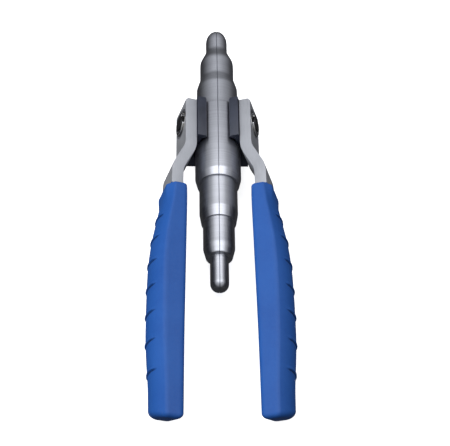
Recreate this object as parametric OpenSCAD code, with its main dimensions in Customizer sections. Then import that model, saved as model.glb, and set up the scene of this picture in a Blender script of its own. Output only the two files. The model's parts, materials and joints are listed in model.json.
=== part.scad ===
// Double-ended hand tube expander: a split stepped mandrel, opened by two plier handles.
// +Y runs along the mandrel to its upper nose, +X to the right, +Z out of the open front.
// The origin is on the flat back of the housing, behind the mandrel's middle.

/* [Mandrel] */
// Diameter of the barrel, the largest step
barrel_d = 22.1; // [21.5:0.1:22.3]
// Diameters of the upper steps, from the barrel to the nose
upper_d = [20.3, 16.8, 10.8];
// Diameters of the lower steps, from the barrel to the nose
lower_d = [18.2, 14.9, 8.7];
// Where the upper steps begin and end along the axis
upper_y = [13.4, 26.8, 33.2, 44.8, 52.1, 66];
// Where the lower steps begin and end along the axis
lower_y = [-29.3, -33.4, -50, -55.8, -70.1, -75.4, -92.6];
// Width of the sawn slit between the two jaws at rest
slit = 0.3; // [0.2:0.1:0.8]
// Rounding of the upper nose: inward and along the axis
upper_round = [3.9, 7];
// Rounding of the lower nose: inward and along the axis
lower_round = [2.6, 3.6];

/* [Housing] */
// Where the housing begins and ends along the mandrel
housing_y = [-11.3, 12.9];
// Height of the prongs' outer edges above the mandrel axis
housing_front = 12.7; // [12:0.1:13]
// Depth of the flat back below the mandrel axis
housing_back = 15.5; // [15:0.1:17]
// Width over the vertical sides
housing_w = 30.6; // [29:0.2:32]
// Width of the opening between the two prongs, at its foot and at its mouth
prong_gap = [9.8, 11.8];
// Chamfer along the back edges
back_chamfer = 3; // [2:0.5:4]

/* [Handles] */
// Lean of each handle towards the open front, in degrees
lean = 17; // [15:0.5:18]
// Full swing of each handle, in degrees
swing = 5.8; // [4:0.1:5.8]
// Distance from the axis to the inner face of the arm beside the housing
arm_in = 13.2; // [13.1:0.1:13.6]
// Thickness of the arm bar
arm_t = 5.6; // [5:0.1:6]
// Width of the arm bar
arm_w = 16; // [15:0.5:17]
// Bend angle of the arm, in degrees
bend = 25; // [20:1:28]
// Bend radius of the arm's middle line
bend_r = 14; // [10:1:16]
// Straight length between the two bends
bend_gap = 9.4; // [8:0.2:11]
// Where the first bend begins along the axis
bend_y = -14.6; // [-16:0.2:-14]
// Length of the straight bar below the bends
tang_len = 116; // [100:1:118]
// Splay of the straight bar away from the axis, in degrees
splay = 0.7; // [0.5:0.1:1]

/* [Grips] */
// Width of a grip across the arm
grip_w = 20; // [19:0.5:21]
// Stations down the grip
grip_y = [-42.4, -43.8, -50, -60, -73, -85, -103, -124, -134, -148, -158.8, -161.4, -162.2];
// Inner face of the grip at each station
grip_in = [18.2, 18, 18, 18.2, 18.4, 18.6, 18.9, 19.2, 19.3, 19.4, 19.5, 19.5, 19.5];
// Crest of the crowned outer face at each station
grip_out = [27.8, 28, 28.8, 30.8, 32.6, 33.8, 34.3, 34.3, 33.7, 32.6, 32.2, 32.2, 32.2];
// How far the outer face falls from its crest to its edges at each station
grip_drop = [3.4, 3.4, 3.4, 3.7, 4.2, 4.7, 5.3, 5.4, 5.2, 4.9, 4.8, 4.8, 4.8];
// Share of the full section at each station, for the rounded ends
grip_share = [0.93, 1, 1, 1, 1, 1, 1, 1, 1, 1, 1, 0.9, 0.68];
// Slant of each station: how far it drops along the mandrel for each millimetre across the arm
grip_slant = [0, 0, 0, 0, 0, 0, 0, 0, 0, 0.15, 0.42, 0.42, 0.42];

/* [Studs] */
// Place of the studs along the mandrel
stud_y = 0.8; // [0:0.1:1.5]
// Diameter of the stud's shank
stud_d = 8; // [7:0.1:8]
// Diameter of the threaded root in the jaw
root_d = 6; // [5:0.5:6]
// Distance from the axis to the outer end of the stud
stud_end = 20.2; // [20:0.1:21]
// Diameter of the hole for the stud in the housing wall
wall_hole_d = 9.6; // [9.4:0.1:9.8]
// Diameter of the hole for the stud in the arm
arm_hole_d = 9.8; // [9.7:0.1:10]
// Diameter of the domed washer
washer_d = 13; // [12:0.1:13.2]
// Diameter of the retaining clip
clip_d = 11.4; // [11:0.1:12]
// Diameter of the counterbore in the arm that the washer sits in
seat_hole_d = 15; // [14.8:0.1:15.4]
// Depth of that counterbore
seat_hole_depth = 1.6; // [1:0.1:2]

/* [Springs] */
// Wire diameter of the closing spring
wire_d = 0.9; // [0.7:0.1:1]
// Middle diameter of the spring's coils
coil_d = 10.6; // [10.4:0.1:10.8]
// Turns of the spring
turns = 3.5; // [3:0.5:4]

/* [Hidden] */
$fn = 96;

steel = "#a9acb0";
dark_steel = "#2b2e33";
zinc = "#b9bcc0";
casting = "#262a33";
vinyl = "#2f5faf";

far = 60;
shoulder_drop = [1.3, 0.9, 1];
barrel_break = 0.5;
bore_play = 0.3;
bore_r = barrel_d / 2 + bore_play;
bore_shift = 1.2;
flat_n = 9.1;
wall_in = 10.4;
wall_out = arm_in - bore_play;
arm_out = arm_in + arm_t;
prong_foot = 9;
prong_mouth = 11.6;

fulcrum_r = 1.5;
fulcrum_n = (arm_in + wall_out) / 2;
fulcrum_y = -9.3;
fulcrum_len = 13;
fulcrum_play = 0.05;

key_w = 5;
key_half = 7.5;
key_low = 12.4;
key_high = 8.6;
key_play = 0.05;
key_gap = 0.2;
key_pocket_top = -5;
screw_x = 4.5;
screw_r = 1.5;
screw_play = 0.1;
socket_r = 1.1;
socket_depth = 1.1;
screw_head_r = 2.9;
screw_head_h = 1.5;
screw_top = 9.6;

pocket_floor = 4.6;
pocket_r = 6.6;
boss_r = 4.5;
boss_top = 8.2;
seat_t = 0.8;
seat_r = 6;
seat_bore_r = 4.5;
root_n = 1.9;
stud_break = 0.3;

ring_sides = 8;
ring_count = turns * 20;
spring_low = pocket_floor + wire_d / 2;
spring_high = wall_in - seat_t - wire_d / 2;

washer_gap = 0.22;
washer_low = arm_out - seat_hole_depth + washer_gap;
washer_top = arm_out;
washer_bore_r = 4.2;
dome_r = 32;
clip_t = 0.8;
clip_play = 0.04;
groove_r = 3.2;
clip_lobe_r = 3.25;
clip_lobe_w = 2.2;
clip_mouth = 5.2;
clip_ring_r = 4.9;
groove_low = washer_top + clip_play;
groove_high = groove_low + clip_t + 2 * clip_play;

pin_r = 2;
pin_play = 0.04;
pin_left = 7.5;
pin_right = 7;
pin_hole_right = 8.6;
upper_pin_y = 20;
lower_pin_y = -21;

jaw_play = 0.4;
arm_top = 11.6;
arm_break = 1.2;
arc_step = 1 / 8;
grip_corner = 1.6;
grip_edge = 0.6;
crown_steps = [0.97, 0.8, 0.6, 0.4, 0.2];
bend_steps = 10;
end_a = [arm_in + arm_t / 2 + bend_r * (1 - cos(bend)), bend_y - bend_r * sin(bend)];
end_b = end_a + bend_gap * [sin(bend), -cos(bend)];
centre_b = end_b - bend_r * [cos(bend), sin(bend)];

// Puts a module modelled about the mandrel axis into the part's frame.
module place() {
  translate([0, 0, housing_back]) children();
}

// Turns a module onto the right-hand stud line: x outward, y along the mandrel, z across the arm.
module right_side() {
  place() rotate([0, -lean, 0]) children();
}

// The mirror image of right_side.
module left_side() {
  place() mirror([1, 0, 0]) rotate([0, -lean, 0]) children();
}

// A straight rod along x from a to b.
module rod(r, a, b) {
  translate([a, 0, 0]) rotate([0, 90, 0]) cylinder(r = r, h = b - a);
}

// A rod on the stud's own line.
module stud_rod(r, a, b) {
  translate([0, stud_y, 0]) rod(r, a, b);
}

function reversed(list) = [for (i = [len(list) - 1 : -1 : 0]) list[i]];

// A quarter of an ellipse in the half-plane of the mandrel's outline, from the flank to the end face.
function nose_arc(r, end_y, round, way) =
  [for (t = [0 : arc_step : 1])
    [r - round[0] * (1 - cos(90 * t)), end_y - way * round[1] * (1 - sin(90 * t))]];

// The stepped outline of the mandrel, from the lower nose to the upper nose.
function mandrel_outline() = concat(
  [[0, lower_y[6]]],
  reversed(nose_arc(lower_d[2] / 2, lower_y[6], lower_round, -1)),
  [[lower_d[2] / 2, lower_y[5]],
   [lower_d[1] / 2 - shoulder_drop[0], lower_y[5]],
   [lower_d[1] / 2, lower_y[4]],
   [lower_d[1] / 2, lower_y[3]],
   [lower_d[0] / 2 - shoulder_drop[1], lower_y[3]],
   [lower_d[0] / 2, lower_y[2]],
   [lower_d[0] / 2, lower_y[1]],
   [barrel_d / 2 - shoulder_drop[2], lower_y[1]],
   [barrel_d / 2, lower_y[0]],
   [barrel_d / 2, upper_y[0] - barrel_break],
   [upper_d[0] / 2, upper_y[0]],
   [upper_d[0] / 2, upper_y[1]],
   [upper_d[1] / 2, upper_y[2]],
   [upper_d[1] / 2, upper_y[3]],
   [upper_d[2] / 2, upper_y[4]]],
  nose_arc(upper_d[2] / 2, upper_y[5], upper_round, 1),
  [[0, upper_y[5]]]);

module mandrel() {
  rotate([-90, 0, 0]) rotate_extrude() polygon(mandrel_outline());
}

// The right-hand jaw about the mandrel axis, with the radius of its guide-pin holes.
module jaw_solid(hole_r, hole_end) {
  difference() {
    intersection() {
      mandrel();
      translate([slit / 2, -far * 2, -far]) cube([far, far * 4, far * 2]);
    }
    rotate([0, -lean, 0]) {
      translate([flat_n, housing_y[0] - jaw_play, -far])
        cube([far, housing_y[1] - housing_y[0] + 2 * jaw_play, far * 2]);
      stud_rod(root_d / 2, root_n, far / 2);
      difference() {
        stud_rod(pocket_r, pocket_floor, far / 2);
        stud_rod(boss_r, 0, boss_top);
      }
    }
    translate([-far, -key_w / 2 - key_play, -far]) cube([far * 2, key_w + 2 * key_play, far - key_high + key_gap]);
    translate([0, upper_pin_y, 0]) rod(hole_r, -1, hole_end);
    translate([0, lower_pin_y, 0]) rod(hole_r, -1, hole_end);
  }
}

// Where the leaning side of the housing lies at height z.
function side_x(z) = (wall_out - z * sin(lean)) / cos(lean);
knee_z = (wall_out - housing_w / 2 * cos(lean)) / sin(lean);

// Half of the housing's end view, from the front down to the back.
function housing_half() = [
  [side_x(housing_front), housing_front],
  [housing_w / 2, knee_z],
  [housing_w / 2, back_chamfer - housing_back],
  [housing_w / 2 - back_chamfer, -housing_back]];

// The end view, with the prong faces square to the leaning sides.
module housing_block() {
  points = housing_half();
  other = [for (p = reversed(points)) [-p[0], p[1]]];
  middle = [0, housing_front - side_x(housing_front) * tan(lean)];
  rotate([90, 0, 0]) linear_extrude(height = far * 2, center = true) polygon(concat([middle], points, other));
}

// The side view of the housing, with its back edges chamfered.
module housing_side_view() {
  back = back_chamfer - housing_back;
  rotate([0, -90, 0]) linear_extrude(height = far * 2, center = true) polygon([
    [-housing_back, housing_y[0] + back_chamfer],
    [back, housing_y[0]],
    [housing_front, housing_y[0]],
    [housing_front, housing_y[1]],
    [back, housing_y[1]],
    [-housing_back, housing_y[1] - back_chamfer]]);
}

// The opening between the prongs, narrower at its foot.
module prong_opening() {
  foot = prong_gap[0] / 2;
  mouth = prong_gap[1] / 2;
  rotate([90, 0, 0]) linear_extrude(height = far * 2, center = true) polygon([
    [-foot, 0],
    [foot, 0],
    [foot, prong_foot],
    [mouth, prong_mouth],
    [mouth, far],
    [-mouth, far],
    [-mouth, prong_mouth],
    [-foot, prong_foot]]);
}

// A long slot with round ends, as wide as the jaws need when they are fully apart.
module bore_slot() {
  for (x = [-bore_shift, bore_shift]) {
    translate([x, 0, 0]) rotate([90, 0, 0]) cylinder(r = bore_r, h = far, center = true);
  }
  translate([-bore_shift, -far / 2, -bore_r]) cube([2 * bore_shift, far, 2 * bore_r]);
}

module inside_wall() {
  rotate([0, -lean, 0]) translate([wall_in - far, -far, -far]) cube([far, far * 2, far * 2]);
}

module fulcrum_rod(r, length) {
  translate([fulcrum_n, fulcrum_y, 0]) cylinder(r = r, h = length, center = true);
}

module housing() {
  color(casting) place() difference() {
    intersection() {
      housing_block();
      housing_side_view();
    }
    intersection() {
      bore_slot();
      inside_wall();
      mirror([1, 0, 0]) inside_wall();
    }
    prong_opening();
    translate([-key_half, -key_w / 2, -key_low]) cube([2 * key_half, key_w, key_low + key_pocket_top]);
    for (m = [0, 1]) {
      mirror([m, 0, 0]) rotate([0, -lean, 0]) {
        stud_rod(wall_hole_d / 2, 5, far);
        fulcrum_rod(fulcrum_r, fulcrum_len);
      }
    }
    for (x = [-screw_x, screw_x]) {
      translate([x, 0, -housing_back - 1]) cylinder(r = screw_r + screw_play, h = far / 4);
      translate([x, 0, -housing_back]) cylinder(r1 = screw_head_r, r2 = screw_r + screw_play, h = screw_head_h);
    }
  }
}

module guide_key() {
  color(dark_steel) place() difference() {
    translate([-key_half, -key_w / 2, -key_low]) cube([2 * key_half, key_w, key_low - key_high]);
    for (x = [-screw_x, screw_x]) {
      translate([x, 0, -far]) cylinder(r = screw_r, h = far - screw_top);
    }
  }
}

module key_screws() {
  color(zinc) place() for (x = [-screw_x, screw_x]) {
    translate([x, 0, -housing_back + screw_play]) difference() {
      union() {
        cylinder(r = screw_r, h = housing_back - screw_top - screw_play);
        cylinder(r1 = screw_head_r - screw_play, r2 = screw_r, h = screw_head_h - screw_play);
      }
      translate([0, 0, -1]) cylinder(r = socket_r, h = 1 + socket_depth, $fn = 6);
    }
  }
}

module fulcrum_pin() {
  color(zinc) fulcrum_rod(fulcrum_r, fulcrum_len);
}

module left_fulcrum_pin() {
  left_side() fulcrum_pin();
}

module right_fulcrum_pin() {
  right_side() fulcrum_pin();
}

module spring_seat() {
  color(zinc) difference() {
    stud_rod(seat_r, wall_in - seat_t, wall_in);
    stud_rod(seat_bore_r, 0, far);
  }
}

module left_spring_seat() {
  left_side() spring_seat();
}

module right_spring_seat() {
  right_side() spring_seat();
}

// One ring of the spring's wire, a fraction t of the way along the coil.
function wire_ring(t) =
  let (angle = 360 * turns * t, x = spring_low + (spring_high - spring_low) * t)
  [for (k = [0 : ring_sides - 1])
    let (a = 360 * k / ring_sides, r = coil_d / 2 + wire_d / 2 * cos(a))
    [x + wire_d / 2 * sin(a), r * cos(angle), r * sin(angle)]];

module spring() {
  points = [for (i = [0 : ring_count]) each wire_ring(i / ring_count)];
  skin = [for (i = [0 : ring_count - 1]) for (k = [0 : ring_sides - 1])
    let (next = (k + 1) % ring_sides, a = i * ring_sides, b = a + ring_sides)
    [a + k, b + k, b + next, a + next]];
  first = [for (k = [0 : ring_sides - 1]) k];
  last = [for (k = [ring_sides - 1 : -1 : 0]) ring_count * ring_sides + k];
  color(steel) translate([0, stud_y, 0]) polyhedron(points = points, faces = concat(skin, [first, last]));
}

module left_spring() {
  left_side() spring();
}

module right_spring() {
  right_side() spring();
}

module left_jaw() {
  color(steel) place() mirror([1, 0, 0]) jaw_solid(pin_r, pin_left);
}

module right_jaw() {
  color(steel) place() jaw_solid(pin_r + pin_play, pin_hole_right);
}

module guide_pin(y) {
  color(zinc) place() translate([0, y, 0]) rod(pin_r, -pin_left, pin_right);
}

module upper_guide_pin() {
  guide_pin(upper_pin_y);
}

module lower_guide_pin() {
  guide_pin(lower_pin_y);
}

module stud() {
  color(dark_steel) translate([0, stud_y, 0]) difference() {
    union() {
      rod(root_d / 2, root_n, boss_top);
      rod(stud_d / 2, boss_top, stud_end - stud_break);
      translate([stud_end - stud_break, 0, 0]) rotate([0, 90, 0])
        cylinder(r1 = stud_d / 2, r2 = stud_d / 2 - stud_break, h = stud_break);
    }
    difference() {
      rod(stud_d, groove_low, groove_high);
      rod(groove_r, 0, far);
    }
  }
}

module left_stud() {
  left_side() stud();
}

module right_stud() {
  right_side() stud();
}

module washer() {
  color(zinc) translate([0, stud_y, 0]) difference() {
    intersection() {
      rod(washer_d / 2, washer_low, washer_top);
      translate([washer_low + dome_r, 0, 0]) sphere(r = dome_r, $fn = 160);
    }
    rod(washer_bore_r, 0, far);
  }
}

module left_washer() {
  left_side() washer();
}

module right_washer() {
  right_side() washer();
}

// An open ring with three lobes that sit in the stud's groove.
module clip() {
  low = groove_low + clip_play;
  high = low + clip_t;
  color(zinc) translate([0, stud_y, 0]) difference() {
    rod(clip_d / 2, low, high);
    difference() {
      rod(clip_ring_r, low - 1, high + 1);
      for (a = [60, 180, 300]) {
        rotate([a, 0, 0]) translate([low - 1, -clip_lobe_w / 2, clip_lobe_r]) cube([far, clip_lobe_w, far]);
      }
    }
    rod(clip_lobe_r, low - 1, high + 1);
    translate([low - 1, -clip_mouth / 2, 0]) cube([clip_t + 2, clip_mouth, far]);
  }
}

module left_clip() {
  left_side() clip();
}

module right_clip() {
  right_side() clip();
}

// The arm's side view at distance d outward of its middle line, from the top down.
function arm_side(d) =
  let (mid = arm_in + arm_t / 2, last = centre_b + bend_r * [cos(splay), sin(splay)]
    + tang_len * [sin(splay), -cos(splay)])
  concat(
    d > 0 ? [[mid + d - arm_break, arm_top], [mid + d, arm_top - arm_break]] : [[mid + d, arm_top]],
    [for (i = [0 : bend_steps]) let (a = bend * i / bend_steps)
      [mid + bend_r - (bend_r - d) * cos(a), bend_y - (bend_r - d) * sin(a)]],
    [for (i = [0 : bend_steps]) let (a = bend + (splay - bend) * i / bend_steps)
      centre_b + (bend_r + d) * [cos(a), sin(a)]],
    [last + d * [cos(splay), sin(splay)]]);

module arm_bar() {
  linear_extrude(height = arm_w, center = true)
    polygon(concat(arm_side(-arm_t / 2), reversed(arm_side(arm_t / 2))));
}

module arm() {
  color(zinc) difference() {
    arm_bar();
    stud_rod(arm_hole_d / 2, 0, far);
    stud_rod(seat_hole_d / 2, arm_out - seat_hole_depth, far);
    fulcrum_rod(fulcrum_r + fulcrum_play, fulcrum_len + 2 * fulcrum_play);
  }
}

module left_arm() {
  left_side() arm();
}

module right_arm() {
  right_side() arm();
}

// One side of a grip's cross-section, from the inner face to just short of the crest.
function grip_half(i) =
  let (w = grip_w / 2, low = grip_in[i], top = grip_out[i], drop = grip_drop[i])
  let (r = (w * w + drop * drop) / (2 * drop))
  concat(
    [[low, w - grip_corner], [low + grip_corner, w], [top - drop - grip_edge, w]],
    [for (k = crown_steps) [top - r + sqrt(r * r - k * k * w * w), k * w]]);

// A whole cross-section at station i: flat inner and side faces, and a crowned outer face.
function grip_ring(i) =
  let (half = grip_half(i), mid = (grip_in[i] + grip_out[i]) / 2, share = grip_share[i])
  let (outline = concat(half, [[grip_out[i], 0]], [for (p = reversed(half)) [p[0], -p[1]]]))
  [for (p = outline) [mid + share * (p[0] - mid), grip_y[i] - grip_slant[i] * share * p[1], share * p[1]]];

module grip_sleeve() {
  count = len(grip_ring(0));
  stations = len(grip_y);
  points = [for (i = [0 : stations - 1]) each grip_ring(i)];
  skin = [for (i = [0 : stations - 2]) for (k = [0 : count - 1])
    let (a = i * count + k, b = i * count + (k + 1) % count)
    each [[a, a + count, b], [b, a + count, b + count]]];
  top = [for (k = [0 : count - 1]) k];
  bottom = [for (k = [count - 1 : -1 : 0]) (stations - 1) * count + k];
  polyhedron(points = points, faces = concat(skin, [top, bottom]));
}

module grip() {
  color(vinyl) difference() {
    grip_sleeve();
    arm_bar();
  }
}

module left_grip() {
  left_side() grip();
}

module right_grip() {
  right_side() grip();
}

housing();
guide_key();
key_screws();
left_fulcrum_pin();
right_fulcrum_pin();
left_spring_seat();
right_spring_seat();
left_spring();
right_spring();
left_jaw();
right_jaw();
upper_guide_pin();
lower_guide_pin();
left_stud();
right_stud();
left_washer();
right_washer();
left_clip();
right_clip();
left_arm();
right_arm();
left_grip();
right_grip();
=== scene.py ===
import json
import math

import bmesh
import bpy
from mathutils import Matrix, Vector


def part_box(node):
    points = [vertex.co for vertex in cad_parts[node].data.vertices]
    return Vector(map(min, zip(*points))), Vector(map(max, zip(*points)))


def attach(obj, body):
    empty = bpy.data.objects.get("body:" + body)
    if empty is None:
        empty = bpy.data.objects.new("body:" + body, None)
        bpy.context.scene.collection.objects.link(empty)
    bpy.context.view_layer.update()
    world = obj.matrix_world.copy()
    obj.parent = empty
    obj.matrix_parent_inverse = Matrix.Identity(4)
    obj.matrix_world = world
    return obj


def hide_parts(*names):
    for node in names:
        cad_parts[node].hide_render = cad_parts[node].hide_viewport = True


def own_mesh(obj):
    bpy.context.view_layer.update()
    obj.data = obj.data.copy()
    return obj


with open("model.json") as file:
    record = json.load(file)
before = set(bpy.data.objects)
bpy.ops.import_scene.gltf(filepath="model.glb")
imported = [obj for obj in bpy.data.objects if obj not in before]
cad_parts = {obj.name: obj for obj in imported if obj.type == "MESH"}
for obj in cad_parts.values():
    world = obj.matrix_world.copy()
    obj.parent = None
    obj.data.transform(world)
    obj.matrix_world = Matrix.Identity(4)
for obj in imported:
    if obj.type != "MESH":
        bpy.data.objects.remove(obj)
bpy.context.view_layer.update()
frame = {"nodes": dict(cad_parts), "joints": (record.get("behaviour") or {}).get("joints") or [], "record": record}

MM = 0.001

# ---------------------------------------------------------------- places taken from the frame

MOUNTS = {m["name"]: m for m in frame["record"]["mounts"]}
JOINTS = {j["name"]: j for j in frame["joints"]}
AXIS_Z = MOUNTS["upper_nose"]["pos_m"][2]
HINGE_AXIS = JOINTS["right_squeeze"]["axis"]
LEAN = math.atan2(HINGE_AXIS[0], -HINGE_AXIS[2])

# Each side's own frame, in which the arm moves: x outward along the stud, y along the mandrel,
# z across the arm. In comments below, "outward" is this x and "across" is this z.
RIGHT = Matrix.Translation((0, 0, AXIS_Z)) @ Matrix.Rotation(-LEAN, 4, "Y")
MIRROR = Matrix.Scale(-1, 4, (1, 0, 0))
SIDES = {"left": MIRROR @ RIGHT, "right": RIGHT}


# ---------------------------------------------------------------- node-tree helpers

class Shader:
    """A small wrapper round one material's node tree, with a Principled BSDF already wired up."""

    def __init__(self, name):
        self.material = bpy.data.materials.new(name)
        self.material.use_nodes = True
        self.tree = self.material.node_tree
        self.tree.nodes.clear()
        self.out = self.tree.nodes.new("ShaderNodeOutputMaterial")
        self.bsdf = self.tree.nodes.new("ShaderNodeBsdfPrincipled")
        self.tree.links.new(self.bsdf.outputs[0], self.out.inputs[0])
        self.coords = self.tree.nodes.new("ShaderNodeTexCoord").outputs["Object"]

    def set(self, **values):
        """Sets uniform values on the BSDF's own sockets; underscores in a name stand for spaces."""
        for key, value in values.items():
            self.bsdf.inputs[key.replace("_", " ")].default_value = value
        return self

    def link(self, output, socket):
        self.tree.links.new(output, self.bsdf.inputs[socket])

    def stretched(self, scale):
        """Object coordinates scaled by a number for each axis."""
        node = self.tree.nodes.new("ShaderNodeMapping")
        node.inputs["Scale"].default_value = scale
        self.tree.links.new(self.coords, node.inputs["Vector"])
        return node.outputs[0]

    def noise(self, scale, detail=3.0, rough=0.55, vector=None):
        node = self.tree.nodes.new("ShaderNodeTexNoise")
        node.inputs["Scale"].default_value = scale
        node.inputs["Detail"].default_value = detail
        node.inputs["Roughness"].default_value = rough
        self.tree.links.new(vector or self.coords, node.inputs["Vector"])
        return node.outputs["Fac"]

    def cells(self, scale):
        node = self.tree.nodes.new("ShaderNodeTexVoronoi")
        node.inputs["Scale"].default_value = scale
        self.tree.links.new(self.coords, node.inputs["Vector"])
        return node.outputs["Distance"]

    def attribute(self, name):
        node = self.tree.nodes.new("ShaderNodeAttribute")
        node.attribute_name = name
        return node.outputs["Fac"]

    def remap(self, value, low, high, to_low=0.0, to_high=1.0):
        node = self.tree.nodes.new("ShaderNodeMapRange")
        ends = {"From Min": low, "From Max": high, "To Min": to_low, "To Max": to_high}
        for name, number in ends.items():
            node.inputs[name].default_value = number
        self.tree.links.new(value, node.inputs["Value"])
        return node.outputs[0]

    def math(self, operation, a, b):
        node = self.tree.nodes.new("ShaderNodeMath")
        node.operation = operation
        for socket, value in zip(node.inputs, (a, b)):
            if isinstance(value, (int, float)):
                socket.default_value = value
            else:
                self.tree.links.new(value, socket)
        return node.outputs[0]

    def blend(self, factor, a, b):
        """Mixes two colours, each a tuple or another node's output."""
        node = self.tree.nodes.new("ShaderNodeMix")
        node.data_type = "RGBA"
        self.tree.links.new(factor, node.inputs[0])
        for socket, value in ((node.inputs[6], a), (node.inputs[7], b)):
            if isinstance(value, tuple):
                socket.default_value = (*value, 1)
            else:
                self.tree.links.new(value, socket)
        return node.outputs[2]

    def bump(self, height, distance, strength=1.0, under=None):
        node = self.tree.nodes.new("ShaderNodeBump")
        node.inputs["Distance"].default_value = distance
        node.inputs["Strength"].default_value = strength
        self.tree.links.new(height, node.inputs["Height"])
        if under is not None:
            self.tree.links.new(under, node.inputs["Normal"])
        return node.outputs[0]


# ---------------------------------------------------------------- materials

# The grips' colour is darkened by this attribute: painted shade in the crease at each rib's foot, where the shadow
# under the rib falls.
CREASE_SHADE = "rib_foot_shade"  # point attribute on the grips: 1 in the crease at a rib's foot, 0 elsewhere


def turned_steel():
    """Satin turned tool steel: fine rings round the mandrel, faint smears and a few long rubs."""
    s = Shader("turned_steel").set(Metallic=1.0)
    rings = s.noise(1.0, 2.0, 0.6, s.stretched((20, 2600, 20)))
    smears = s.noise(60, 3.0, 0.5)
    rubs = s.noise(1.0, 3.0, 0.6, s.stretched((700, 30, 700)))
    tone = s.math("ADD", s.math("MULTIPLY", rings, 0.6), s.math("MULTIPLY", smears, 0.4))
    s.link(s.blend(s.remap(tone, 0.3, 0.7), (0.45, 0.465, 0.51), (0.62, 0.635, 0.69)), "Base Color")
    rough = s.math("ADD", s.remap(rings, 0.3, 0.7, 0.28, 0.33), s.remap(rubs, 0.5, 0.8, 0.0, 0.04))
    s.link(rough, "Roughness")
    s.link(s.bump(rings, 0.000002, 0.3), "Normal")
    return s.material


def plated_bar():
    """Pale satin plating on rolled flat bar, with a fine grain along the bar."""
    s = Shader("plated_bar").set(Metallic=0.55)
    grain = s.noise(1.0, 3.0, 0.6, s.stretched((2600, 160, 2600)))
    cloud = s.noise(55, 4.0, 0.6)
    speck = s.noise(2600, 2.0, 0.5)
    tone = s.math("ADD", s.math("MULTIPLY", cloud, 0.6), s.math("MULTIPLY", grain, 0.4))
    s.link(s.blend(s.remap(tone, 0.3, 0.7), (0.40, 0.415, 0.45), (0.52, 0.535, 0.575)), "Base Color")
    rough = s.math("ADD", s.remap(cloud, 0.3, 0.7, 0.40, 0.5), s.remap(grain, 0.4, 0.8, 0.0, 0.08))
    s.link(rough, "Roughness")
    s.link(s.bump(grain, 0.00002, 0.5, s.bump(speck, 0.000015, 0.5)), "Normal")
    return s.material


def black_coat():
    """Slate-black coating on the housing, slightly pebbled, with paler scuffs."""
    s = Shader("black_coat").set(Metallic=0.0, Specular_IOR_Level=0.6)
    cloud = s.noise(90, 4.0, 0.6)
    pebble = s.cells(2600)
    scuff = s.noise(1.0, 4.0, 0.7, s.stretched((900, 120, 900)))
    base = s.blend(s.remap(cloud, 0.3, 0.7), (0.014, 0.018, 0.032), (0.030, 0.037, 0.062))
    s.link(s.blend(s.remap(scuff, 0.68, 0.82, 0.0, 0.35), base, (0.10, 0.11, 0.135)), "Base Color")
    s.link(s.remap(cloud, 0.3, 0.7, 0.34, 0.46), "Roughness")
    s.link(s.bump(pebble, 0.00004, 0.5), "Normal")
    return s.material


def black_oxide():
    """Oiled black oxide on hardened steel."""
    s = Shader("black_oxide").set(Metallic=0.6)
    cloud = s.noise(400, 4.0, 0.6)
    grain = s.noise(3200, 2.0, 0.5)
    s.link(s.blend(s.remap(cloud, 0.35, 0.7), (0.012, 0.012, 0.014), (0.045, 0.046, 0.05)), "Base Color")
    s.link(s.remap(cloud, 0.3, 0.7, 0.25, 0.42), "Roughness")
    s.link(s.bump(grain, 0.00002, 0.5), "Normal")
    return s.material


def bright_zinc():
    """Bright zinc plate with a faint yellow and blue cast."""
    s = Shader("bright_zinc").set(Metallic=1.0)
    cloud = s.noise(260, 3.0, 0.6)
    fine = s.noise(1800, 3.0, 0.6)
    s.link(s.blend(s.remap(cloud, 0.35, 0.65), (0.62, 0.64, 0.69), (0.76, 0.74, 0.70)), "Base Color")
    s.link(s.remap(fine, 0.3, 0.7, 0.16, 0.28), "Roughness")
    s.link(s.bump(fine, 0.000006, 0.6), "Normal")
    return s.material


def spring_wire():
    """Drawn spring wire with a light oil film."""
    s = Shader("spring_wire").set(Metallic=1.0)
    cloud = s.noise(700, 3.0, 0.6)
    s.link(s.blend(s.remap(cloud, 0.3, 0.7), (0.30, 0.29, 0.28), (0.48, 0.47, 0.46)), "Base Color")
    s.link(s.remap(cloud, 0.3, 0.7, 0.22, 0.36), "Roughness")
    s.link(s.bump(s.noise(5000, 2.0), 0.00001, 0.6), "Normal")
    return s.material


def grip_vinyl():
    """Blue moulded vinyl: soft sheen, fine grain, slight mottling, handling marks, and painted shade in the
    creases at the ribs' feet.
    """
    s = Shader("grip_vinyl").set(Specular_IOR_Level=0.28, Coat_Weight=0.03, Coat_Roughness=0.2)
    cloud = s.noise(38, 4.0, 0.6)
    mottle = s.noise(520, 3.0, 0.55)
    grain = s.cells(3400)
    marks = s.noise(1.0, 4.0, 0.7, s.stretched((420, 60, 420)))
    base = s.blend(s.remap(cloud, 0.3, 0.7), (0.015, 0.086, 0.350), (0.021, 0.106, 0.400))
    base = s.blend(s.remap(mottle, 0.35, 0.75, 0.0, 0.2), base, (0.028, 0.126, 0.43))
    base = s.blend(s.remap(marks, 0.66, 0.85, 0.0, 0.22), base, (0.06, 0.16, 0.42))
    # Painted shade: the colour turns dark navy in the crease at each rib's foot, standing in for the shadow under
    # the rib.
    crease_shade = s.remap(s.attribute(CREASE_SHADE), 0.1, 0.9, 0.0, 0.75)
    s.link(s.blend(crease_shade, base, (0.006, 0.03, 0.11)), "Base Color")
    rough = s.math("ADD", s.remap(cloud, 0.3, 0.7, 0.38, 0.48), s.remap(marks, 0.5, 0.8, 0.0, 0.1))
    s.link(rough, "Roughness")
    s.link(s.bump(grain, 0.00005, 0.35, s.bump(mottle, 0.00006, 0.4)), "Normal")
    return s.material


MATERIALS = {
    "jaw_steel": turned_steel(),
    "arm_steel": plated_bar(),
    "housing_casting": black_coat(),
    "black_oxide": black_oxide(),
    "zinc_plate": bright_zinc(),
    "spring_steel": spring_wire(),
    "grip_vinyl": grip_vinyl(),
}
SLOT_OF = {p["node"]: p["material_slot"] for p in frame["record"]["subparts"]}
BODY_OF = {n: b for b, nodes in frame["record"]["behaviour"]["bodies"].items() for n in nodes}


# ---------------------------------------------------------------- mesh helpers

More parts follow.
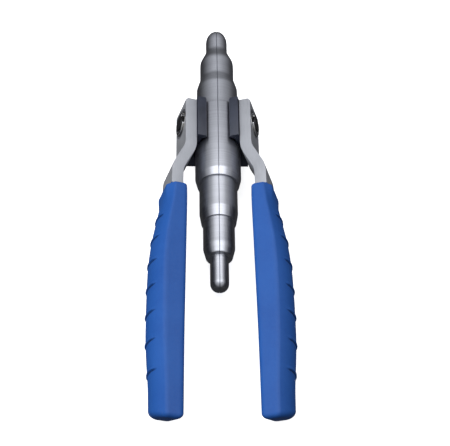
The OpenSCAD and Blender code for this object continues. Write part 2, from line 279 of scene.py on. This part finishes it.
def new_piece(name, bm, slot, smooth_angle=35):
    """Makes an object from a bmesh in the part's frame, with one of the record's finishes."""
    bmesh.ops.recalc_face_normals(bm, faces=bm.faces)
    mesh = bpy.data.meshes.new(name)
    bm.to_mesh(mesh)
    bm.free()
    piece = bpy.data.objects.new(name, mesh)
    bpy.context.scene.collection.objects.link(piece)
    mesh.materials.append(MATERIALS[slot])
    smooth(mesh, smooth_angle)
    return piece


def smooth(mesh, angle):
    mesh.polygons.foreach_set("use_smooth", [True] * len(mesh.polygons))
    mesh.set_sharp_from_angle(angle=math.radians(angle))


def apply_modifiers(piece):
    """Bakes the piece's modifiers into its mesh."""
    graph = bpy.context.evaluated_depsgraph_get()
    mesh = bpy.data.meshes.new_from_object(piece.evaluated_get(graph))
    piece.modifiers.clear()
    piece.data = mesh


# Angles in degrees: edges sharper than the first are rounded, then shaded smooth up to the second.
BEVEL_FROM, BEVEL_SMOOTH = 28, 40
# Points closer than this are one point, and faces that differ by less than this angle are one face.
WELD, SAME_FACE = 0.002 * MM, 0.6


def bevel(piece, width, segments):
    """Rounds every sharp edge, as a deburred or tumbled part has."""
    modifier = piece.modifiers.new("bevel", "BEVEL")
    modifier.width = width
    modifier.segments = segments
    modifier.limit_method = "ANGLE"
    modifier.angle_limit = math.radians(BEVEL_FROM)
    modifier.use_clamp_overlap = True
    apply_modifiers(piece)
    smooth(piece.data, BEVEL_SMOOTH)


def cut(piece, cutter_bm):
    """Takes a closed shape away from the piece."""
    bmesh.ops.recalc_face_normals(cutter_bm, faces=cutter_bm.faces)
    mesh = bpy.data.meshes.new("cutter")
    cutter_bm.to_mesh(mesh)
    cutter_bm.free()
    cutter = bpy.data.objects.new("cutter", mesh)
    bpy.context.scene.collection.objects.link(cutter)
    modifier = piece.modifiers.new("cut", "BOOLEAN")
    modifier.operation = "DIFFERENCE"
    modifier.solver = "EXACT"
    modifier.object = cutter
    apply_modifiers(piece)
    bpy.data.objects.remove(cutter)


def edged_copy(node, width=None, segments=2):
    """A copy of a CAD node that stands for it: flat faces joined up, edges rounded where width is given."""
    bm = bmesh.new()
    bm.from_mesh(frame["nodes"][node].data)
    bmesh.ops.remove_doubles(bm, verts=bm.verts, dist=WELD)
    bmesh.ops.dissolve_limit(bm, angle_limit=math.radians(SAME_FACE), verts=bm.verts, edges=bm.edges)
    piece = new_piece(node + "_finished", bm, SLOT_OF[node])
    if width:
        bevel(piece, width, segments)
    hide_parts(node)
    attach(piece, BODY_OF[node])
    return piece


# ---------------------------------------------------------------- the grips

# Stations down a grip, in millimetres: place, inner face, crest, fall of the outer face to its edges.
GRIP_STATIONS = [
    (-42.4, 18.25, 27.65, 3.4), (-46, 18.05, 27.9, 3.4), (-53, 18.05, 28.8, 3.5), (-62, 18.2, 30.5, 3.8),
    (-73, 18.4, 32.4, 4.2), (-86, 18.6, 33.6, 4.7), (-103, 18.9, 34.0, 5.1), (-123, 19.2, 34.0, 5.3),
    (-134, 19.3, 33.4, 5.1), (-147, 19.4, 32.4, 4.8), (-165, 19.5, 32.0, 4.7)]
GRIP_HALF_W = 9.95
GRIP_TOP, GRIP_END = -42.4, -162.0
# Ribs down a grip: place of the rib on the crest, and how far it climbs for each millimetre across.
RIBS = [(-59.4, -0.07), (-71.9, -0.03), (-85.1, 0.0), (-98.6, 0.03), (-112.3, 0.03), (-126.6, 0.0),
        (-141.0, -0.08)]
# A rib's height and the length of its slope; then the drop to the crease at its foot and that crease.
RIB_HEIGHT, RIB_ABOVE = 0.5, 1.6
FOOT_DEPTH, FOOT_BELOW, RIB_STEP = 0.4, 1.4, 0.45
# Ribs are full this far across from the crest and have faded out by the second figure.
RIB_FULL, RIB_GONE = 4.2, 7.6
RINGS_PER_MM = 4
TOP_ROUND, END_ROUND = 1.2, 3.0
TOP_STEPS, END_STEPS = 6, 9
# The lower end slants: its climb for each millimetre across, and where that slant sets in.
END_SLANT, SLANT_FROM, SLANT_OVER = 0.43, -134.0, 24.0
# The chamfered rim: half width of its flat, and where it starts to turn into the crown.
RIM_FLAT_W, RIM_FADE_FROM, RIM_FADE_OVER = 6.45, -43.0, 11.0
CORNER_ROUND, CORNER_STEPS, WALL_STEPS, CROWN_STEPS = 1.9, 5, 7, 20
# Rounding between side wall and outer face, as (below the edge, in from the side).
EDGE_ROUND = [(0.55, 0.02), (0.15, 0.16)]
WALL_END, CROWN_IN = 0.7, 0.42
EASE_SPAN, EASE_TAPS = 9.0, 9
FACE_MARGIN = 0.2  # ribs are on the outer face only, down to this far below its edge
# The tang where it enters the grip, its splay, and the visible mouth of the pocket round it. The
# pocket is a mouth only: the tang runs on inside the moulding below it.
TANG_IN, TANG_OUT, TANG_HALF_W, TANG_SPLAY = 19.875, 25.475, 8.0, 0.7
POCKET_DEPTH, POCKET_CENTRE = 14.0, 22.8
MOUTH_GAP, MOUTH_LIP, POCKET_GAP = 0.35, 0.5, 0.03
TINY = 1e-6


def eased_step(t):
    t = min(1.0, max(0.0, t))
    return t * t * (3 - 2 * t)


def station(y):
    """Inner face, crest and fall of the grip at y, between the stations."""
    for a, b in zip(GRIP_STATIONS, GRIP_STATIONS[1:]):
        if y >= b[0]:
            t = min(1.0, max(0.0, (a[0] - y) / (a[0] - b[0])))
            return [p + (q - p) * t for p, q in zip(a[1:], b[1:])]
    return list(GRIP_STATIONS[-1][1:])


def eased(y):
    """The station values averaged over a short span, which rounds the corners between stations."""
    found = [station(min(GRIP_TOP, max(GRIP_END, y + EASE_SPAN * (k / (EASE_TAPS - 1) - 0.5))))
             for k in range(EASE_TAPS)]
    return [sum(values) / EASE_TAPS for values in zip(*found)]


def outer_face(across, crest, fall, rim):
    """Height of the outer face at this place across: a crown, or a flat with chamfers near the rim."""
    radius = (GRIP_HALF_W ** 2 + fall ** 2) / (2 * fall)
    crown = crest - radius + math.sqrt(radius ** 2 - across ** 2)
    chamfered = crest - max(0.0, abs(across) - RIM_FLAT_W) * fall / (GRIP_HALF_W - RIM_FLAT_W)
    return crown * (1 - rim) + chamfered * rim


def grip_outline(y):
    """Points round the grip's section at y, as (outward, across), one way round from the inner face."""
    inner, crest, fall = eased(y)
    rim = 1 - eased_step((RIM_FADE_FROM - y) / RIM_FADE_OVER)
    w, round_off = GRIP_HALF_W, CORNER_ROUND
    points = []
    for k in range(CORNER_STEPS + 1):
        a = math.radians(90 - 90 // CORNER_STEPS * k)
        points.append((inner + round_off - round_off * math.sin(a),
                       w - round_off + round_off * math.cos(a)))
    edge = crest - fall
    for k in range(1, WALL_STEPS):
        points.append((inner + round_off + (edge - WALL_END - inner - round_off) * k / WALL_STEPS, w))
    points += [(edge - below, w - aside) for below, aside in EDGE_ROUND]
    for k in range(1, CROWN_STEPS):
        across = (w - CROWN_IN) * math.cos(math.pi / 2 * k / CROWN_STEPS)
        points.append((outer_face(across, crest, fall, rim), across))
    points.append((crest, 0.0))
    return points + [(n, -across) for n, across in reversed(points[:-1])]


def rib_lift(y, across, outward, crest, fall):
    """How far the surface stands proud here, and how deep it lies in the crease at a rib's foot, which also
    weights the painted shade there.
    """
    if outward < crest - fall - FACE_MARGIN:
        return 0.0, 0.0
    fade = 1 - eased_step((abs(across) - RIB_FULL) / (RIB_GONE - RIB_FULL))
    lift = foot = 0.0
    for rib, climb in RIBS:
        away = y - rib - climb * abs(across)
        if 0 < away < RIB_ABOVE:
            lift = RIB_HEIGHT * (1 - eased_step(away / RIB_ABOVE))
        elif -RIB_STEP < away <= 0:
            t = eased_step(-away / RIB_STEP)
            lift = RIB_HEIGHT * (1 - t) - FOOT_DEPTH * t
            foot = t
        elif -FOOT_BELOW < away <= -RIB_STEP:
            foot = 1 - eased_step((-away - RIB_STEP) / (FOOT_BELOW - RIB_STEP))
            lift = -FOOT_DEPTH * foot
    return lift * fade, foot * fade


def grip_ring(y, inset):
    """One ring of the moulding at y on its middle line; inset is how far a round end draws it in."""
    inner, crest, fall = eased(y)
    middle = (inner + crest) / 2
    half_depth = (crest - inner) / 2
    slant = END_SLANT * eased_step((SLANT_FROM - y) / SLANT_OVER)
    ring = []
    for outward, across in grip_outline(y):
        drawn = across * (1 - inset / GRIP_HALF_W)
        here = y - slant * drawn
        lift, foot = rib_lift(here, across, outward, crest, fall)
        n = middle + (outward + lift - middle) * (1 - inset / half_depth)
        # The last figure weights the painted shade in the crease at a rib's foot.
        ring.append((n, here, drawn, foot))
    return ring


def grip_rings():
    """Rings down the grip, with round ends."""
    rings = []
    for k in range(TOP_STEPS + 1):
        a = math.radians(90 * k / TOP_STEPS)
        rings.append(grip_ring(GRIP_TOP - TOP_ROUND * (1 - math.cos(a)), TOP_ROUND * (1 - math.sin(a))))
    start, stop = GRIP_TOP - TOP_ROUND, GRIP_END + END_ROUND
    count = int((start - stop) * RINGS_PER_MM)
    for k in range(1, count):
        rings.append(grip_ring(start + (stop - start) * k / count, 0.0))
    for k in range(END_STEPS + 1):
        a = math.radians(90 * k / END_STEPS)
        rings.append(grip_ring(GRIP_END + END_ROUND * (1 - math.sin(a)), END_ROUND * (1 - math.cos(a))))
    return rings


def arm_section(y):
    """Inner and outer faces of the arm's straight tang at y."""
    splay = math.tan(math.radians(TANG_SPLAY)) * (GRIP_TOP - y)
    return TANG_IN + splay, TANG_OUT + splay


def pocket_rings():
    """The mouth of the tang's pocket, matched point for point to the outer rings."""
    outline = grip_outline(GRIP_TOP)
    rings = []
    for y, grow in ((GRIP_TOP, MOUTH_GAP), (GRIP_TOP - MOUTH_LIP, POCKET_GAP),
                    (GRIP_TOP - POCKET_DEPTH, POCKET_GAP)):
        low, high = arm_section(y)
        middle, span = (low + high) / 2, (high - low) / 2
        ring = []
        for n, across in outline:
            dn = n - POCKET_CENTRE
            stretch = min((span + grow) / max(abs(dn), TINY), (TANG_HALF_W + grow) / max(abs(across), TINY))
            ring.append((middle + dn * stretch, y, across * stretch, 0.0))
        rings.append(ring)
    return rings


def make_grip(side):
    """The moulding, kept out of reflections so that the polished steps beside it stay neutral."""
    rings = grip_rings()
    inside = pocket_rings()
    bm = bmesh.new()
    place = SIDES[side]

    shade = bm.verts.layers.float.new(CREASE_SHADE)

    def add(ring):
        verts = [bm.verts.new(place @ (Vector(p[:3]) * MM)) for p in ring]
        for vert, point in zip(verts, ring):
            vert[shade] = point[3]
        return verts

    loops = [add(r) for r in reversed(inside)] + [add(r) for r in rings]
    for a, b in zip(loops, loops[1:]):
        for k in range(len(a)):
            bm.faces.new((a[k], a[(k + 1) % len(a)], b[(k + 1) % len(a)], b[k]))
    bm.faces.new(loops[0])
    bm.faces.new(loops[-1])
    piece = new_piece(f"{side}_grip_moulding", bm, "grip_vinyl", 50)
    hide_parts(f"{side}_grip")
    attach(piece, f"{side}_handle")
    piece.visible_glossy = False
    return piece


# ---------------------------------------------------------------- the mandrel's jaws

# The slit between the jaws (half its width, and the edge break along it), and columns in a half turn.
SLIT_HALF, SLIT_EDGE = 0.05, 0.17
COLUMNS = 96
CORE_GONE = 0.9  # outline points nearer the axis than this are left out, so the ends close flat
# The flat on each jaw's side, outward and from end to end along the mandrel.
FLAT_N, FLAT_LOW, FLAT_HIGH = 9.1, -11.7, 13.3
# Round the stud: the spring's pocket, the boss left standing in it, and the stud's blind hole.
STUD_Y = 0.8
POCKET_R, POCKET_FLOOR = 6.6, 4.6
BOSS_R, BOSS_TOP, BOSS_TRIM_R = 4.5, 8.2, 4.6
HOLE_R, HOLE_FLOOR = 3.0, 1.9
# The keyway in the back of each jaw, and the blind holes of the guide pins by side (radius, depth).
KEYWAY_HALF, KEYWAY_TOP = 2.55, -8.4
PIN_PLACES = (20, -21)
PIN_HOLE = {"left": (2.0, 7.5), "right": (2.04, 8.6)}
THROUGH, FLAT_THROUGH = 30, 40  # how far cutters run past the jaw
# Rounded ends of the noses as (inward, along).
UPPER_ROUND, LOWER_ROUND = (3.9, 7.0), (2.6, 3.6)
NOSE_STEPS = 14
BARREL_END = 12.0
# What the cone below each lower step, and below the barrel, adds to the radius.
SMALL_CONE, LARGE_CONE, BARREL_CONE = 1.3, 0.9, 1.0
BARREL_CONE_LENGTH, BARREL_CHAMFER = 4.1, 0.4
STEP_BLEND = 8.0  # fillet radius between the upper steps
JAW_SMOOTH = 32


def jaw_box():
    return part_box("right_jaw")


def step(name):
    """Radius and the two ends of one step of the mandrel, in millimetres."""
    mount = MOUNTS[name]
    middle, half = mount["pos_m"][1] / MM, mount["dims"]["length_mm"] / 2
    return mount["dims"]["r_mm"], middle - half, middle + half


def nose(radius, end, rounding, way):
    """The rounded end of a nose, from its end face to its flank, as corners with no fillet."""
    inward, along = rounding
    return [(radius - inward * (1 - math.cos(a)), end - way * along * (1 - math.sin(a)), 0)
            for a in (math.radians(90 - 90 * k / NOSE_STEPS) for k in range(NOSE_STEPS + 1))]


def mandrel_corners():
    """Corners of the stepped outline as (radius, place, fillet radius), from the lower nose upwards."""
    r_ln, _, ln_high = step("lower_nose")
    r_s3, s3_low, s3_high = step("lower_middle_step")
    r_s2, s2_low, s2_high = step("lower_large_step")
    r_c, _, c_high = step("upper_large_step")
    r_b, b_low, b_high = step("upper_middle_step")
    r_un, un_low, _ = step("upper_nose")
    low, high = (corner[1] / MM for corner in jaw_box())
    barrel = jaw_box()[1][2] / MM - AXIS_Z / MM
    return [
        (0.0, low, 0), *nose(r_ln, low, LOWER_ROUND, -1),
        (r_ln, ln_high, 0.35), (r_s3 - SMALL_CONE, ln_high, 0.9), (r_s3, s3_low, 3.0),
        (r_s3, s3_high, 0.2), (r_s2 - LARGE_CONE, s3_high, 0.7), (r_s2, s2_low, 3.0),
        (r_s2, s2_high, 0.15), (barrel - BARREL_CONE, s2_high, 0.35),
        (barrel, s2_high + BARREL_CONE_LENGTH, 3.0),
        (barrel, BARREL_END, 0.8), (r_c, BARREL_END + BARREL_CHAMFER, 0.15),
        (r_c, c_high, STEP_BLEND), (r_b, b_low, STEP_BLEND),
        (r_b, b_high, STEP_BLEND), (r_un, un_low, STEP_BLEND),
        *reversed(nose(r_un, high, UPPER_ROUND, 1)), (0.0, high, 0)]


def filleted(corners, steps=8):
    """The outline with each corner rounded to its fillet, cut short where the straights are short."""
    points = [corners[0][:2]]
    for before, here, after in zip(corners, corners[1:], corners[2:]):
        p, a, b = (Vector(q[:2]) for q in (here, before, after))
        to_a, to_b = (a - p), (b - p)
        length_a, length_b = to_a.length, to_b.length
        to_a.normalize()
        to_b.normalize()
        turn = math.pi - to_a.angle(to_b)
        if here[2] <= 0 or turn < 1e-3:
            points.append(tuple(p))
            continue
        share_a = 0.95 if before[0] == 0 else 0.48
        share_b = 0.95 if after[0] == 0 else 0.48
        trim = min(here[2] * math.tan(turn / 2), share_a * length_a, share_b * length_b)
        radius = trim / math.tan(turn / 2)
        middle = (to_a + to_b).normalized()
        centre = p + middle * (radius / math.cos(turn / 2))
        start, end = p + to_a * trim, p + to_b * trim
        for k in range(steps + 1):
            t = k / steps
            spoke = (start - centre) * (1 - t) + (end - centre) * t
            points.append(tuple(centre + spoke.normalized() * radius))
    points.append(corners[-1][:2])
    return points


def half_turned(outline, side_sign):
    """Half of a turned body on one side of the slit, closed by a flat face with a small edge break."""
    bm = bmesh.new()
    rings = []
    for radius, y in outline:
        if radius < CORE_GONE:
            continue
        reach = math.acos((SLIT_HALF + SLIT_EDGE) / radius)
        ring = [(SLIT_HALF, radius * math.sin(reach) - SLIT_EDGE)]
        for k in range(COLUMNS + 1):
            a = reach * (1 - 2 * k / COLUMNS)
            ring.append((radius * math.cos(a), radius * math.sin(a)))
        ring.append((SLIT_HALF, -radius * math.sin(reach) + SLIT_EDGE))
        rings.append([bm.verts.new((side_sign * x * MM, y * MM, AXIS_Z + z * MM)) for x, z in ring])
    for a, b in zip(rings, rings[1:]):
        for k in range(len(a) - 1):
            bm.faces.new((a[k], a[k + 1], b[k + 1], b[k]))
        bm.faces.new((a[-1], a[0], b[0], b[-1]))
    bm.faces.new(rings[0])
    bm.faces.new(list(reversed(rings[-1])))
    return bm


def box_bm(low, high, matrix):
    bm = bmesh.new()
    corners = [bm.verts.new(matrix @ Vector((x * MM, y * MM, z * MM)))
               for x in (low[0], high[0]) for y in (low[1], high[1]) for z in (low[2], high[2])]
    for face in ((0, 1, 3, 2), (4, 6, 7, 5), (0, 4, 5, 1), (2, 3, 7, 6), (0, 2, 6, 4), (1, 5, 7, 3)):
        bm.faces.new([corners[i] for i in face])
    return bm


def rod_bm(radius, start, end, matrix, sides=48, hollow=None):
    """A rod along x, or a tube where hollow gives the bore, in the frame that matrix stands for."""
    bm = bmesh.new()
    loops = []
    profile = [(radius, start), (radius, end)]
    if hollow:
        profile += [(hollow, end), (hollow, start)]
    for r, x in profile:
        loops.append([bm.verts.new(matrix @ Vector((x * MM, r * MM * math.cos(2 * math.pi * k / sides),
                                                    r * MM * math.sin(2 * math.pi * k / sides))))
                      for k in range(sides)])
    pairs = list(zip(loops, loops[1:]))
    if hollow:
        pairs.append((loops[-1], loops[0]))
    for a, b in pairs:
        for k in range(sides):
            bm.faces.new((a[k], a[(k + 1) % sides], b[(k + 1) % sides], b[k]))
    if not hollow:
        bm.faces.new(loops[0])
        bm.faces.new(loops[-1])
    return bm


def make_jaw(side):
    """One half of the mandrel, turned, then milled and drilled for what holds it."""
    sign = 1 if side == "right" else -1
    bm = half_turned(filleted(mandrel_corners()), sign)
    piece = new_piece(f"{side}_jaw_turned", bm, "jaw_steel", JAW_SMOOTH)
    far = THROUGH
    cut(piece, box_bm((FLAT_N, FLAT_LOW, -far), (FLAT_THROUGH, FLAT_HIGH, far), SIDES[side]))
    on_stud = SIDES[side] @ Matrix.Translation((0, STUD_Y * MM, 0))
    cut(piece, rod_bm(POCKET_R, POCKET_FLOOR, far, on_stud, hollow=BOSS_R))
    cut(piece, rod_bm(BOSS_TRIM_R, BOSS_TOP, far, on_stud))
    cut(piece, rod_bm(HOLE_R, HOLE_FLOOR, far, on_stud))
    level = Matrix.Translation((0, 0, AXIS_Z))
    cut(piece, box_bm((-far, -KEYWAY_HALF, -far), (far, KEYWAY_HALF, KEYWAY_TOP), level))
    radius, reach = PIN_HOLE[side]
    ends = sorted((-sign, sign * reach))
    for y in PIN_PLACES:
        cut(piece, rod_bm(radius, *ends, level @ Matrix.Translation((0, y * MM, 0))))
    smooth(piece.data, JAW_SMOOTH)
    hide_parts(f"{side}_jaw")
    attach(piece, f"{side}_jaw")
    return piece


# ---------------------------------------------------------------- the model

# Rounding of each piece's edges, in millimetres, and the faces across it.
SIDE_EDGES = {"arm": (0.55, 4), "washer": (0.12, 2), "clip": (0.15, 2), "stud": (0.12, 2)}
HOUSING_EDGES = {"housing": (0.35, 3), "guide_key": (0.2, 2), "key_screws": (0.08, 2)}

for side in SIDES:
    make_grip(side)
    make_jaw(side)
    for piece, (width, segments) in SIDE_EDGES.items():
        edged_copy(f"{side}_{piece}", width * MM, segments)
for piece, (width, segments) in HOUSING_EDGES.items():
    edged_copy(piece, width * MM, segments)

for side in SIDES:
    coil = edged_copy(f"{side}_spring")
    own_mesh(coil)

# The pins and spring seats stay as they are in the CAD, with these materials.
for node, thing in frame["nodes"].items():
    if not thing.hide_render:
        thing.data.materials.clear()
        thing.data.materials.append(MATERIALS[SLOT_OF[node]])

# ---------------------------------------------------------------- floor, light and camera

FLOOR_SIZE, FLOOR_GLOW, FLOOR_DROP, HEEL_IN = 4, 0.8, 0.2 * MM, 3 * MM


def floor():
    """A pale floor at the housing's back edge and the grips' ends, kept out of reflections."""
    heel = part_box("housing")[0].y + HEEL_IN
    tilt = min(math.atan2(v.co.z, heel - v.co.y)
               for side in SIDES for v in frame["nodes"][f"{side}_grip"].data.vertices)
    bm = bmesh.new()
    bmesh.ops.create_grid(bm, x_segments=1, y_segments=1, size=FLOOR_SIZE)
    mesh = bpy.data.meshes.new("floor")
    bm.to_mesh(mesh)
    bm.free()
    plane = bpy.data.objects.new("floor", mesh)
    bpy.context.scene.collection.objects.link(plane)
    plane.matrix_world = Matrix.Translation((0, heel, -FLOOR_DROP)) @ Matrix.Rotation(-tilt, 4, "X")
    s = Shader("pale_floor").set(Roughness=0.75, Specular_IOR_Level=0.2)
    cloud = s.remap(s.noise(6, 3.0), 0.3, 0.7)
    s.link(s.blend(cloud, (0.86, 0.86, 0.87), (0.90, 0.90, 0.905)), "Base Color")
    s.set(Emission_Color=(1, 1, 1, 1), Emission_Strength=FLOOR_GLOW)
    mesh.materials.append(s.material)
    plane.visible_glossy = False
    plane.visible_diffuse = False


def area_light(name, place, target, size, power):
    data = bpy.data.lights.new(name, "AREA")
    data.shape = "RECTANGLE"
    data.size, data.size_y = size
    data.energy = power
    light = bpy.data.objects.new(name, data)
    bpy.context.scene.collection.objects.link(light)
    light.location = place
    light.rotation_euler = (Vector(target) - Vector(place)).to_track_quat("-Z", "Y").to_euler()
    return light


# Brightness of the studio by height of the direction, from straight down to straight up.
SKY = [(-1.0, 0.05), (-0.3, 0.05), (0.0, 0.13), (0.2, 0.26),
       (0.6, 0.48), (0.86, 0.66), (0.94, 1.05), (1.0, 1.25)]
SKY_TINT = (0.95, 0.965, 1.0)


def sky(tree):
    """A studio that is dark low down and brightest overhead."""
    coords = tree.nodes.new("ShaderNodeTexCoord")
    split = tree.nodes.new("ShaderNodeSeparateXYZ")
    height = tree.nodes.new("ShaderNodeMapRange")
    height.inputs["From Min"].default_value = -1
    ramp = tree.nodes.new("ShaderNodeValToRGB")
    top = max(value for _, value in SKY)
    stops = ramp.color_ramp.elements
    while len(stops) < len(SKY):
        stops.new(0.5)
    for stop, (z, value) in zip(stops, SKY):
        stop.position = (z + 1) / 2
        stop.color = (*(part * value / top for part in SKY_TINT), 1)
    tree.links.new(coords.outputs["Generated"], split.inputs[0])
    tree.links.new(split.outputs["Z"], height.inputs["Value"])
    tree.links.new(height.outputs[0], ramp.inputs[0])
    tree.links.new(ramp.outputs[0], tree.nodes["Background"].inputs["Color"])
    tree.nodes["Background"].inputs["Strength"].default_value = top


# Lamps: place, aim, size (metres) and power (watts).
OVERHEAD = ((0.0, 0.10, 0.5), (0.0, 0.10, 0.0), (0.7, 0.46), 1.1)
KEY = ((-0.8, -0.1, 0.42), (0, -0.05, 0.015), (0.7, 0.6), 4.6)


def lights():
    """A lamp overhead, one from the left that leaves no glint, and the studio round them."""
    area_light("overhead", *OVERHEAD)
    area_light("key", *KEY).visible_glossy = False
    world = bpy.data.worlds.new("studio")
    world.use_nodes = True
    sky(world.node_tree)
    bpy.context.scene.world = world


FOCAL, SENSOR = 110.8, 36
DISTANCE = 0.650
CAM_AZIMUTH = math.radians(3.0)
CAM_ELEVATION = math.radians(54)
CAM_ROLL = math.radians(2.7)
AIM_Y = -0.0547
AIM_RIGHT = 0.0029


def camera():
    data = bpy.data.cameras.new("camera")
    data.lens = FOCAL
    data.sensor_width = SENSOR
    cam = bpy.data.objects.new("camera", data)
    bpy.context.scene.collection.objects.link(cam)
    forward = Vector((math.sin(CAM_AZIMUTH) * math.cos(CAM_ELEVATION),
                      math.cos(CAM_AZIMUTH) * math.cos(CAM_ELEVATION), -math.sin(CAM_ELEVATION)))
    turn = forward.to_track_quat("-Z", "Y")
    right = turn @ Vector((1, 0, 0))
    target = Vector((0, AIM_Y, AXIS_Z)) + right * AIM_RIGHT
    cam.location = target - forward * DISTANCE
    cam.rotation_euler = (turn.to_matrix() @ Matrix.Rotation(CAM_ROLL, 3, "Z")).to_euler()
    bpy.context.scene.camera = cam


floor()
lights()
camera()
bpy.context.scene.view_settings.view_transform = "Standard"
